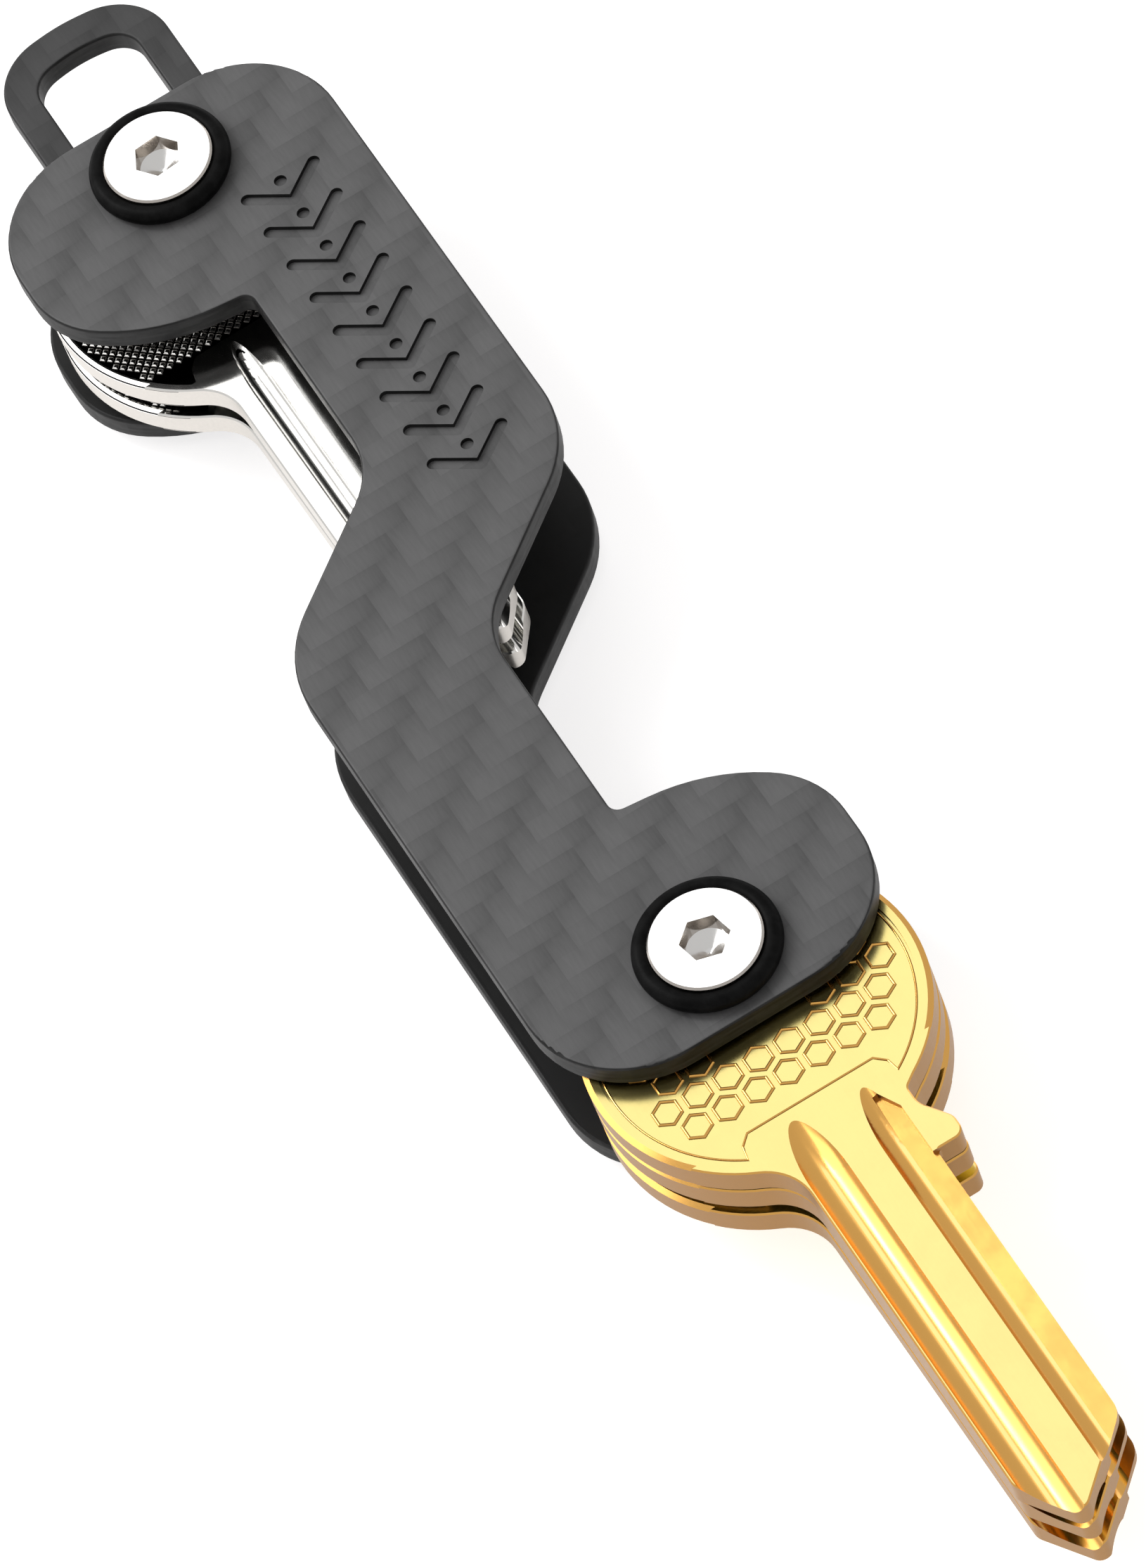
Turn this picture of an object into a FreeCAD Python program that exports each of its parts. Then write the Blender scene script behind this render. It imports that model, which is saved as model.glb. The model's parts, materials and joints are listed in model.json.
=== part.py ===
import FreeCAD, Part
import math
import os

V = FreeCAD.Vector

# Key organiser: two Z-shaped plates held apart by two barrels, with keys that fold
# between them. Millimetres. The origin is on the loop-end pivot axis, in the plane
# that the rear screw heads rest on. +X runs to the key-end pivot and +Z runs up
# through the stack to the front plate.

# ---- plates ----
PIVOT_DISTANCE = 85.7
PLATE_HALF_WIDTH = 13.75
PLATE_END_OVERHANG = 6.25
PLATE_THICKNESS = 2.0
PLATE_EDGE_ROUND = 0.25
PLATE_GAP = 10.2
END_CORNER_RADIUS = 8.6

# the neck's slanted sides, from the middle of the plate
NECK_SHOULDER_X = -2.3
NECK_SHOULDER_RADIUS = 9.8
NECK_INSIDE_X = 8.8
NECK_INSIDE_RADIUS = 6.8

# the rounded lobe round each pivot, back from the pivot towards the neck
LOBE_NOTCH_BACK = 14.35
LOBE_NOTCH_RADIUS = 0.95
LOBE_SIDE_BACK = 13.45
LOBE_SIDE_Y = 7.3
LOBE_SIDE_RADIUS = 15.8
LOBE_TOP_BACK = 8.05
LOBE_TOP_RADIUS = 7.7

# engraved row of chevrons and dots on the front plate
ENGRAVE_DEPTH = 0.4
ENGRAVE_STROKE = 1.0
ENGRAVE_START = 6.7
ENGRAVE_PITCH = 3.75
ENGRAVE_COUNT = 9
ENGRAVE_POINT = 2.2
ENGRAVE_LOW = 3.9
ENGRAVE_HIGH = 9.7

# ---- barrels, screws and rubber rings ----
BARREL_RADIUS = 3.0
BARREL_FIT = 0.05
BARREL_SHORT = 0.3
THREAD_RADIUS = 2.0
THREAD_FIT = 0.05
SHANK_LENGTH = 5.5
HEAD_RADIUS = 4.25
HEAD_HEIGHT = 1.7
HEAD_BEVEL = 0.15
HEX_ACROSS_FLATS = 3.3
HEX_DEPTH = 1.4
FRONT_HEX_TURNS = (35.0, 12.0)
REAR_HEX_TURNS = (20.0, 50.0)
RING_SECTION = 1.5
RING_BITE = 0.22
RING_FIT = 0.02

# ---- washers and running gaps in the two stacks ----
LAYER_GAP = 0.05
THIN_WASHER = 0.1
LOOP_REAR_WASHER = 0.2
SILVER_WASHER = 1.35
GOLD_WASHER = 1.0
WASHER_RADIUS = 4.6
WASHER_FIT = 0.1

# ---- key ring loop ----
LOOP_THICKNESS = 2.0
LOOP_HALF_WIDTH = 6.95
LOOP_REACH = 19.2
LOOP_END_BULGE = 0.8
LOOP_END_RADIUS = 14.0
LOOP_CORNER_RADIUS = 5.2
LOOP_SIDE_WIDTH = 2.6
LOOP_END_WIDTH = 2.95
LOOP_EYE_WALL = 2.45
LOOP_EYE_CORNER_RADIUS = 1.9
LOOP_HOLE_CORNER_RADIUS = 2.5

# ---- keys ----
GOLD_THICKNESS = 2.25
SILVER_THICKNESS = 2.1
KEY_FIT = 0.08
BOW_OFFSET = 5.25
BOW_RECESS = 0.18
RIM_BEVEL = 0.4
RIM_BEVEL_DEPTH = 0.22
PANEL_START = 13.5
SHOULDER_RADIUS = 4.3
TAB_END = 22.4
TAB_TOP_LENGTH = 1.7
TAB_RAMP_LENGTH = 2.4
TAB_FOOT_LENGTH = 1.5
TAB_RISE = 2.35
TAB_FOOT_RISE = 0.8
EDGE_BREAK = 0.12
GROOVE_RUN_IN = 5.5
LAND_START = 1.0
LAND_LIP = 0.3
NECK_RISE = 1.0
GOLD_TURNS = (-0.2, 0.0, 0.15)
SILVER_TURNS = (0.55, 0.8)

# Each kind of blank: bow radius and height above the pivot line, reach from pivot to
# tip, blade edges below and above the pivot line, height of the tip's point, how far
# each edge stops short of the point, and milled grooves as (face, centre y, half
# width, depth, start x). A land slope is the angle at which the front strip beyond the
# second groove rises to the blade's edge; a step depth thins the same edge from the
# back, outwards from step_y.
GOLD_BLANK = {
    "thickness": GOLD_THICKNESS, "bow": 12.86, "bow_rise": 0.2, "rim": 0.95,
    "panel_low": 4.9, "panel_high": 5.4,
    "reach": 53.2, "low": 3.6, "high": 5.4, "point": -0.6, "low_back": 4.7, "high_back": 5.7,
    "land_slope": 8.2, "step_depth": 0.95, "step_y": 3.2,
    "grooves": (
        ("front", -1.85, 1.55, 0.75, 14.4),
        ("front", 3.55, 1.25, 0.7, 15.0),
        ("back", 1.0, 1.1, 0.7, 16.0),
    ),
}
SILVER_BLANK = {
    "thickness": SILVER_THICKNESS, "bow": 13.1, "bow_rise": 0.0, "rim": 0.55,
    "panel_low": 5.7, "panel_high": 4.6,
    "reach": 49.7, "low": 5.1, "high": 3.95, "point": 1.3, "low_back": 5.2, "high_back": 3.6,
    "land_slope": 0.0, "step_depth": 0.0, "step_y": 3.2,
    "grooves": (
        ("front", -2.75, 0.95, 0.55, 14.0),
        ("front", 2.1, 0.9, 0.6, 17.0),
        ("back", -0.2, 1.0, 0.7, 16.0),
    ),
}

# ---- sizes that follow from those above ----
REAR_PLATE_Z = HEAD_HEIGHT
STACK_LOW = REAR_PLATE_Z + PLATE_THICKNESS
STACK_HIGH = STACK_LOW + PLATE_GAP
FRONT_FACE_Z = STACK_HIGH + PLATE_THICKNESS
HALF_LENGTH = PIVOT_DISTANCE / 2 + PLATE_END_OVERHANG
PIVOTS = (0.0, PIVOT_DISTANCE)


# ---- helpers ----
def rounded_corner(before, here, after, radius):
    """Start, top and end of the arc that rounds the corner at here."""
    back = (before - here).normalize()
    ahead = (after - here).normalize()
    half = back.getAngle(ahead) / 2
    run = radius / math.tan(half)
    middle = (back + ahead).normalize()
    top = here + middle * (radius / math.sin(half) - radius)
    return here + back * run, top, here + ahead * run


def rounded_path(start, corners, end):
    """Edges from start to end by way of corners (x, y, radius), each one rounded."""
    points = [start] + [V(corner[0], corner[1], 0) for corner in corners] + [end]
    edges = []
    last = start
    for i, corner in enumerate(corners):
        arc_start, arc_top, arc_end = rounded_corner(points[i], points[i + 1], points[i + 2], corner[2])
        if last.distanceToPoint(arc_start) > 1e-6:
            edges.append(Part.LineSegment(last, arc_start).toShape())
        edges.append(Part.Arc(arc_start, arc_top, arc_end).toShape())
        last = arc_end
    if last.distanceToPoint(end) > 1e-6:
        edges.append(Part.LineSegment(last, end).toShape())
    return edges


def rounded_outline(corners):
    """Face inside corners (x, y, radius), each corner rounded to its own radius."""
    points = [V(corner[0], corner[1], 0) for corner in corners]
    seam = rounded_corner(points[-1], points[0], points[1], corners[0][2])[2]
    return Part.Face(Part.Wire(rounded_path(seam, corners[1:] + corners[:1], seam)))


def disc(x, y, radius):
    """Flat disc in the XY plane."""
    return Part.Face(Part.Wire(Part.Circle(V(x, y, 0), V(0, 0, 1), radius).toShape()))


def slab(face, low, height):
    """Face pulled up from z = low by height."""
    solid = face.extrude(V(0, 0, height))
    solid.translate(V(0, 0, low))
    return solid


def ring(inner, outer, low, height):
    """Plain ring about the Z axis."""
    tube = Part.makeCylinder(outer, height, V(0, 0, low))
    return tube.cut(Part.makeCylinder(inner, height, V(0, 0, low)))


def face_edges(solid, low, high):
    """Edges that lie wholly in the plane z = low or z = high."""
    found = []
    for edge in solid.Edges:
        box = edge.BoundBox
        flat = box.ZLength < 1e-6
        if flat and min(abs(box.ZMin - low), abs(box.ZMin - high)) < 1e-6:
            found.append(edge)
    return found


def at_pivot(solid, pivot, turn=0.0, height=0.0):
    """Solid turned about Z by turn degrees and put on a pivot axis."""
    placed = solid.copy()
    placed.rotate(V(0, 0, 0), V(0, 0, 1), turn)
    placed.translate(V(pivot, 0, height))
    return placed


# ---- plates ----
def plate_face():
    """Z-shaped outline: one half's corners, then the same turned by half a turn."""
    half_span = PIVOT_DISTANCE / 2
    half = [
        (-HALF_LENGTH, PLATE_HALF_WIDTH, END_CORNER_RADIUS),
        (NECK_SHOULDER_X, PLATE_HALF_WIDTH, NECK_SHOULDER_RADIUS),
        (NECK_INSIDE_X, 0.0, NECK_INSIDE_RADIUS),
        (half_span - LOBE_NOTCH_BACK, 0.0, LOBE_NOTCH_RADIUS),
        (half_span - LOBE_SIDE_BACK, LOBE_SIDE_Y, LOBE_SIDE_RADIUS),
        (half_span - LOBE_TOP_BACK, PLATE_HALF_WIDTH, LOBE_TOP_RADIUS),
        (HALF_LENGTH, PLATE_HALF_WIDTH, END_CORNER_RADIUS),
    ]
    corners = half + [(-x, -y, radius) for x, y, radius in half]
    face = rounded_outline(corners)
    face.translate(V(half_span, 0, 0))
    return face


def plate(low):
    """Flat plate with softened edges and a hole for each barrel."""
    solid = slab(plate_face(), low, PLATE_THICKNESS)
    high = low + PLATE_THICKNESS
    solid = solid.makeFillet(PLATE_EDGE_ROUND, face_edges(solid, low, high))
    for pivot in PIVOTS:
        hole = Part.makeCylinder(BARREL_RADIUS + BARREL_FIT, PLATE_THICKNESS, V(pivot, 0, low))
        solid = solid.cut(hole)
    return solid


def stroke(x1, y1, x2, y2):
    """Engraving cutter: a straight stroke with round ends, through the front face."""
    start = V(x1, y1, 0)
    end = V(x2, y2, 0)
    along = (end - start).normalize()
    side = V(-along.y, along.x, 0) * (ENGRAVE_STROKE / 2)
    tip = along * (ENGRAVE_STROKE / 2)
    wire = Part.Wire([
        Part.LineSegment(start + side, end + side).toShape(),
        Part.Arc(end + side, end + tip, end - side).toShape(),
        Part.LineSegment(end - side, start - side).toShape(),
        Part.Arc(start - side, start - tip, start + side).toShape(),
    ])
    return slab(Part.Face(wire), FRONT_FACE_Z - ENGRAVE_DEPTH, 2 * ENGRAVE_DEPTH)


def front_plate():
    """Front plate with a row of chevrons and dots engraved along one long edge."""
    solid = plate(STACK_HIGH)
    middle = (ENGRAVE_LOW + ENGRAVE_HIGH) / 2
    cutters = []
    for i in range(ENGRAVE_COUNT):
        x = ENGRAVE_START + i * ENGRAVE_PITCH
        low_arm = stroke(x, ENGRAVE_LOW, x + ENGRAVE_POINT, middle)
        high_arm = stroke(x, ENGRAVE_HIGH, x + ENGRAVE_POINT, middle)
        cutters.append(low_arm.fuse(high_arm))
        dot = slab(disc(x, middle, ENGRAVE_STROKE / 2), FRONT_FACE_Z - ENGRAVE_DEPTH, 2 * ENGRAVE_DEPTH)
        cutters.append(dot)
    return solid.cut(cutters)


# ---- barrels, screws and rubber rings ----
def barrel():
    """Threaded sleeve that passes through both plates and carries the stack."""
    length = PLATE_GAP + 2 * (PLATE_THICKNESS - BARREL_SHORT)
    return ring(THREAD_RADIUS, BARREL_RADIUS, REAR_PLATE_Z + BARREL_SHORT, length)


def ring_centre_radius():
    """Radius of the line that the rubber ring's section is carried along."""
    return HEAD_RADIUS + RING_SECTION / 2 - RING_BITE


def front_o_ring():
    """Rubber ring seated on the front plate, round a screw head."""
    height = FRONT_FACE_Z + RING_SECTION / 2
    return Part.makeTorus(ring_centre_radius(), RING_SECTION / 2, V(0, 0, height), V(0, 0, 1))


def front_screw(turn):
    """Flat-headed screw with a hex socket and a groove that keeps the rubber ring."""
    head = Part.makeCylinder(HEAD_RADIUS, HEAD_HEIGHT, V(0, 0, FRONT_FACE_Z))
    top = FRONT_FACE_Z + HEAD_HEIGHT
    head = head.makeChamfer(HEAD_BEVEL, face_edges(head, top, top))
    groove_height = V(0, 0, FRONT_FACE_Z + RING_SECTION / 2)
    groove = Part.makeTorus(ring_centre_radius(), RING_SECTION / 2 + RING_FIT, groove_height, V(0, 0, 1))
    shank_radius = THREAD_RADIUS - THREAD_FIT
    shank = Part.makeCylinder(shank_radius, SHANK_LENGTH, V(0, 0, FRONT_FACE_Z - SHANK_LENGTH))
    corner = HEX_ACROSS_FLATS / 2 / math.cos(math.radians(30))
    points = [V(corner, 0, 0)]
    for i in range(1, 7):
        angle = math.radians(60 * i)
        points.append(V(corner * math.cos(angle), corner * math.sin(angle), 0))
    socket = slab(Part.Face(Part.makePolygon(points)), top - HEX_DEPTH, HEX_DEPTH)
    socket.rotate(V(0, 0, 0), V(0, 0, 1), turn)
    drill_radius = HEX_ACROSS_FLATS / 2
    drill_depth = drill_radius / 2
    drill = Part.makeCone(0, drill_radius, drill_depth, V(0, 0, top - HEX_DEPTH - drill_depth))
    return head.cut(groove).fuse(shank).cut([socket, drill])


def to_rear(solid):
    """The same piece on the rear side: mirrored about the middle of the stack."""
    middle = (STACK_LOW + STACK_HIGH) / 2
    return solid.mirror(V(0, 0, middle), V(0, 0, 1))


def washer(low, height):
    """Flat washer or spacer on a barrel."""
    return ring(BARREL_RADIUS + WASHER_FIT, WASHER_RADIUS, low, height)


# ---- key ring loop ----
def key_ring_loop():
    """Flat eye on the loop-end barrel with an opening for a key ring beyond the plates."""
    end = LOOP_REACH - LOOP_END_BULGE
    outer = rounded_outline([
        (LOOP_HALF_WIDTH, LOOP_HALF_WIDTH, LOOP_HALF_WIDTH),
        (-end, LOOP_HALF_WIDTH, LOOP_CORNER_RADIUS),
        (-LOOP_REACH, 0.0, LOOP_END_RADIUS),
        (-end, -LOOP_HALF_WIDTH, LOOP_CORNER_RADIUS),
        (LOOP_HALF_WIDTH, -LOOP_HALF_WIDTH, LOOP_HALF_WIDTH),
    ])
    hole_side = LOOP_HALF_WIDTH - LOOP_SIDE_WIDTH
    hole_inside = BARREL_RADIUS + KEY_FIT + LOOP_EYE_WALL
    opening = rounded_outline([
        (-hole_inside, hole_side, LOOP_EYE_CORNER_RADIUS),
        (LOOP_END_WIDTH - end, hole_side, LOOP_HOLE_CORNER_RADIUS),
        (LOOP_END_WIDTH - LOOP_REACH, 0.0, LOOP_END_RADIUS - LOOP_END_WIDTH),
        (LOOP_END_WIDTH - end, -hole_side, LOOP_HOLE_CORNER_RADIUS),
        (-hole_inside, -hole_side, LOOP_EYE_CORNER_RADIUS),
    ])
    solid = slab(outer.cut(opening), 0, LOOP_THICKNESS)
    solid = solid.makeFillet(PLATE_EDGE_ROUND, face_edges(solid, 0, LOOP_THICKNESS))
    return solid.cut(Part.makeCylinder(BARREL_RADIUS + KEY_FIT, LOOP_THICKNESS))


# ---- keys ----
def key_outline(blank):
    """Round bow, curved shoulder, blade with a pointed tip, and the stop tab on one side."""
    low, high, reach, bow = blank["low"], blank["high"], blank["reach"], blank["bow"]
    bow_centre = V(BOW_OFFSET, blank["bow_rise"], 0)
    reach_out = bow + SHOULDER_RADIUS
    drop = low + SHOULDER_RADIUS + bow_centre.y
    shoulder = V(BOW_OFFSET + math.sqrt(reach_out ** 2 - drop ** 2), -low - SHOULDER_RADIUS, 0)
    on_bow = bow_centre + (shoulder - bow_centre) * (bow / reach_out)
    on_blade = V(shoulder.x, -low, 0)
    inward = ((on_bow + on_blade) * 0.5 - shoulder).normalize()
    tab_top = high + TAB_RISE
    tab_foot = high + TAB_FOOT_RISE
    ramp_top = TAB_END - TAB_TOP_LENGTH
    ramp_foot = ramp_top - TAB_RAMP_LENGTH
    neck_y = tab_foot + NECK_RISE
    neck = V(BOW_OFFSET + math.sqrt(bow ** 2 - (neck_y - bow_centre.y) ** 2), neck_y, 0)
    edges = rounded_path(on_blade, [
        (reach - blank["low_back"], -low, 1.3),
        (reach, blank["point"], 0.9),
        (reach - blank["high_back"], high, 1.8),
        (TAB_END, high, 0.3),
        (TAB_END, tab_top, 0.8),
        (ramp_top, tab_top, 1.2),
        (ramp_foot, tab_foot, 1.6),
        (ramp_foot - TAB_FOOT_LENGTH, tab_foot, 0.6),
    ], neck)
    edges.append(Part.Arc(neck, bow_centre - V(bow, 0, 0), on_bow).toShape())
    edges.append(Part.Arc(on_bow, shoulder + inward * SHOULDER_RADIUS, on_blade).toShape())
    return Part.Face(Part.Wire(edges))


def bow_recess(blank):
    """Sunk field of the bow inside its rim, stopping at the panel at the blade's root."""
    low, high = blank["panel_low"], blank["panel_high"]
    panel = rounded_outline([
        (PANEL_START, high, 0.6),
        (PANEL_START + 0.9, high + 0.8, 0.6),
        (TAB_END, high + TAB_RISE, 0.6),
        (TAB_END, -low - TAB_RISE, 0.6),
        (PANEL_START + 0.9, -low - 0.8, 0.6),
        (PANEL_START, -low, 0.6),
    ])
    return disc(BOW_OFFSET, blank["bow_rise"], blank["bow"] - blank["rim"]).cut(panel)


def rim_bevel(blank):
    """Cutter below z = 0 that slopes the bow's outer edge, stopping at the panel."""
    bow = blank["bow"]
    centre = V(BOW_OFFSET, blank["bow_rise"], -RIM_BEVEL_DEPTH)
    outside = Part.makeCylinder(bow + 1, RIM_BEVEL_DEPTH, centre)
    slope = Part.makeCone(bow, bow - RIM_BEVEL, RIM_BEVEL_DEPTH, centre)
    panel = Part.makeBox(2 * bow, 4 * bow, RIM_BEVEL_DEPTH, V(PANEL_START, -2 * bow, -RIM_BEVEL_DEPTH))
    return outside.cut([slope, panel])


def groove_radius(half_width, depth):
    """Radius of the arc that spans a groove's width at its depth."""
    return (half_width ** 2 + depth ** 2) / (2 * depth)


def groove_cutter(y, half_width, depth, start, reach):
    """Round-bottomed groove cutter on z = 0 with a bullet-shaped start."""
    radius = groove_radius(half_width, depth)
    nose_arc = groove_radius(GROOVE_RUN_IN, depth)
    nose = math.sqrt(2 * nose_arc * radius - radius ** 2)
    full = start + GROOVE_RUN_IN
    halfway = full - nose / 2
    halfway_radius = math.sqrt(nose_arc ** 2 - (nose / 2) ** 2) - nose_arc + radius
    tip = V(full - nose, 0, 0)
    wire = Part.Wire([
        Part.Arc(tip, V(halfway, halfway_radius, 0), V(full, radius, 0)).toShape(),
        Part.LineSegment(V(full, radius, 0), V(reach + 1, radius, 0)).toShape(),
        Part.LineSegment(V(reach + 1, radius, 0), V(reach + 1, 0, 0)).toShape(),
        Part.LineSegment(V(reach + 1, 0, 0), tip).toShape(),
    ])
    cutter = Part.Face(wire).revolve(V(0, 0, 0), V(1, 0, 0), 360)
    cutter.translate(V(0, y, radius - depth))
    return cutter


def land_cutter(blank):
    """Cutter below z = 0 for the strip that slopes up from a groove to the blade's high edge."""
    y, half_width, depth, start = blank["grooves"][1][1:]
    inside = blank["high"] - LAND_LIP
    outside = blank["high"] + 1
    begin = start + LAND_START
    end = blank["reach"] + 1
    slant = y + half_width / 2
    outline = Part.makePolygon([
        V(begin, y, 0), V(begin, slant, 0), V(begin + 2 * (inside - slant), inside, 0),
        V(TAB_END, inside, 0), V(TAB_END, outside, 0), V(end, outside, 0), V(end, y, 0), V(begin, y, 0),
    ])
    slope = math.radians(blank["land_slope"])
    radius = groove_radius(half_width, depth)
    foot_y = y + radius * math.sin(slope)
    foot_z = radius * (1 - math.cos(slope)) - depth
    edge_z = foot_z + (outside - foot_y) * math.tan(slope)
    section = Part.makePolygon([
        V(begin, foot_y, 0), V(begin, foot_y, foot_z), V(begin, outside, edge_z), V(begin, outside, 0),
        V(begin, foot_y, 0),
    ])
    wedge = Part.Face(section).extrude(V(end - begin, 0, 0))
    return slab(Part.Face(outline), -depth, depth).common(wedge)


def step_cutter(blank):
    """Cutter above z = 0 that thins the blade's high edge beyond the tab."""
    length = blank["reach"] + 1 - TAB_END
    width = blank["high"] + 1 - blank["step_y"]
    return Part.makeBox(length, width, blank["step_depth"], V(TAB_END, blank["step_y"], 0))


def key(blank):
    """Key blank lying flat with its hole on the Z axis and its blade along +X."""
    thickness = blank["thickness"]
    solid = slab(key_outline(blank), 0, thickness)
    solid = solid.makeChamfer(EDGE_BREAK, face_edges(solid, 0, thickness))
    sunk = bow_recess(blank)
    bevel = rim_bevel(blank)
    front_cutters = [slab(sunk, -BOW_RECESS, BOW_RECESS), bevel]
    back_cutters = [slab(sunk, 0, BOW_RECESS), bevel.mirror(V(0, 0, 0), V(0, 0, 1))]
    for face, y, half_width, depth, start in blank["grooves"]:
        cutter = groove_cutter(y, half_width, depth, start, blank["reach"])
        if face == "front":
            front_cutters.append(cutter)
        else:
            back_cutters.append(cutter.mirror(V(0, 0, 0), V(0, 0, 1)))
    if blank["land_slope"] > 0:
        front_cutters.append(land_cutter(blank))
    if blank["step_depth"] > 0:
        back_cutters.append(step_cutter(blank))
    for cutter in front_cutters:
        cutter.translate(V(0, 0, thickness))
    hole = Part.makeCylinder(BARREL_RADIUS + KEY_FIT, thickness)
    return solid.cut(front_cutters + back_cutters + [hole])


# ---- the two stacks, listed from the front plate's underside towards the rear ----
# (name, thickness, True for a piece that turns on the barrel)
LOOP_END_STACK = (
    ("loop_front_washer", THIN_WASHER, False),
    ("key_ring_loop", LOOP_THICKNESS, True),
    ("loop_rear_washer", LOOP_REAR_WASHER, False),
    ("silver_key_upper", SILVER_THICKNESS, True),
    ("silver_key_washer", SILVER_WASHER, False),
    ("silver_key_lower", SILVER_THICKNESS, True),
)
KEY_END_STACK = (
    ("gold_front_washer", THIN_WASHER, False),
    ("gold_key_top", GOLD_THICKNESS, True),
    ("gold_upper_washer", THIN_WASHER, False),
    ("gold_key_middle", GOLD_THICKNESS, True),
    ("gold_lower_washer", GOLD_WASHER, False),
    ("gold_key_bottom", GOLD_THICKNESS, True),
)


def stack_heights(stack):
    """Low z of each piece of a stack, and the height that is left under the last one."""
    heights = {}
    level = STACK_HIGH
    for name, thickness, turns in stack:
        gap = LAYER_GAP if turns else 0.0
        level -= gap + thickness
        heights[name] = level
        level -= gap
    return heights, level - STACK_LOW


def stack_washers(stack, end, pivot):
    """The washers of one stack, and two equal spacers that fill it down to the rear plate."""
    heights, left = stack_heights(stack)
    made = {}
    for name, thickness, turns in stack:
        if not turns:
            made[name] = at_pivot(washer(heights[name], thickness), pivot)
    for i, name in enumerate(("lower", "upper")):
        spacer = washer(STACK_LOW + i * left / 2, left / 2)
        made[end + "_spacer_" + name] = at_pivot(spacer, pivot)
    return made


def build():
    """Every piece of the organiser by its node name."""
    parts = {"front_plate": front_plate(), "rear_plate": plate(REAR_PLATE_Z)}
    for i, end in enumerate(("loop_end", "key_end")):
        pivot = PIVOTS[i]
        parts[end + "_barrel"] = at_pivot(barrel(), pivot)
        parts[end + "_front_screw"] = at_pivot(front_screw(FRONT_HEX_TURNS[i]), pivot)
        parts[end + "_rear_screw"] = at_pivot(to_rear(front_screw(REAR_HEX_TURNS[i])), pivot)
        parts[end + "_front_o_ring"] = at_pivot(front_o_ring(), pivot)
        parts[end + "_rear_o_ring"] = at_pivot(to_rear(front_o_ring()), pivot)
    parts.update(stack_washers(LOOP_END_STACK, "loop_end", PIVOTS[0]))
    parts.update(stack_washers(KEY_END_STACK, "key_end", PIVOTS[1]))
    loop_heights = stack_heights(LOOP_END_STACK)[0]
    key_heights = stack_heights(KEY_END_STACK)[0]
    parts["key_ring_loop"] = at_pivot(key_ring_loop(), PIVOTS[0], 0, loop_heights["key_ring_loop"])
    silver = key(SILVER_BLANK)
    for name, turn in zip(("silver_key_upper", "silver_key_lower"), SILVER_TURNS):
        parts[name] = at_pivot(silver, PIVOTS[0], turn, loop_heights[name])
    gold = key(GOLD_BLANK)
    for name, turn in zip(("gold_key_top", "gold_key_middle", "gold_key_bottom"), GOLD_TURNS):
        parts[name] = at_pivot(gold, PIVOTS[1], turn, key_heights[name])
    return parts


os.makedirs("parts", exist_ok=True)
for node, shape in build().items():
    shape.exportStep("parts/" + node + ".step")
    print(node, "solids", len(shape.Solids), "valid", shape.isValid(), "volume", round(shape.Volume, 1))
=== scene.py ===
import json
import math

import bpy
import numpy as np
from mathutils import Matrix, Vector


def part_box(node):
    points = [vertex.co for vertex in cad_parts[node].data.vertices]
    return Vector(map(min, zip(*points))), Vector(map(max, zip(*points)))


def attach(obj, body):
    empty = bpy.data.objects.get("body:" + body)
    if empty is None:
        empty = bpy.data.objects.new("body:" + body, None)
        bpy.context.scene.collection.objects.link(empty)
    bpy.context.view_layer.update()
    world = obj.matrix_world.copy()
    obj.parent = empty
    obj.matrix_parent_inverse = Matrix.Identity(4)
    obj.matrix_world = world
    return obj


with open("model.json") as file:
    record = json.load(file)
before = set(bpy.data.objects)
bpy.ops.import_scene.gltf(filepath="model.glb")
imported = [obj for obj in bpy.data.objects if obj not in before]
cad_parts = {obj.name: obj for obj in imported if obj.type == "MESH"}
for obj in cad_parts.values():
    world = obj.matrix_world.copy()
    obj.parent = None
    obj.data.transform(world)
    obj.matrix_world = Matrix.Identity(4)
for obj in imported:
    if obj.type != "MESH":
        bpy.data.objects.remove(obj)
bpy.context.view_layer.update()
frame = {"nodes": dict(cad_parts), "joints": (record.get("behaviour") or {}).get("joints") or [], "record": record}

MM = 0.001
record = frame["record"]
nodes = frame["nodes"]


# ---------------------------------------------------------------- the frame's own places
def pivot_of(joint_name):
    """Point on a joint's axis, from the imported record."""
    joint = next(j for j in frame["joints"] if j["name"] == joint_name)
    return Vector(joint["pos_m"])


LOOP_PIVOT = pivot_of("loop_swivel")
KEY_PIVOT = pivot_of("gold_top_fold")
FRONT_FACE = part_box("front_plate")[1].z

# key blanks, as the frame has them: a sunk field in each bow, cut short by the panel at the blade's root
BOW_RECESS = 0.18 * MM
PANEL_START = 13.5 * MM
PANEL_SLANT = 0.8 * MM
PANEL_TURN = 1.0 * MM
GOLD_PANEL_LOW = 4.9 * MM
GOLD_PANEL_HIGH = 5.4 * MM
GOLD_BOW = {"centre": (5.25 * MM, 0.2 * MM), "field": 11.91 * MM}
SILVER_BOW = {"centre": (5.25 * MM, 0.0), "field": 12.55 * MM}
EYE_RADIUS = 5.0 * MM

# each key's body, and the degrees that it is turned from the pivot line
GOLD_KEYS = {
    "gold_key_top": ("gold_top", -0.2),
    "gold_key_middle": ("gold_middle", 0.0),
    "gold_key_bottom": ("gold_bottom", 0.15),
}
SILVER_KEYS = {
    "silver_key_upper": ("silver_upper", 0.55),
    "silver_key_lower": ("silver_lower", 0.8),
}

# knurled studs on the silver bows
STUD_PITCH = 0.6 * MM
STUD_SIDES = (0.23 * MM, 0.2 * MM, 0.1 * MM)
STUD_RISES = (-0.02 * MM, 0.08 * MM, 0.14 * MM)
STUD_MARGIN = 0.38 * MM
STUD_REACH = 40

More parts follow.
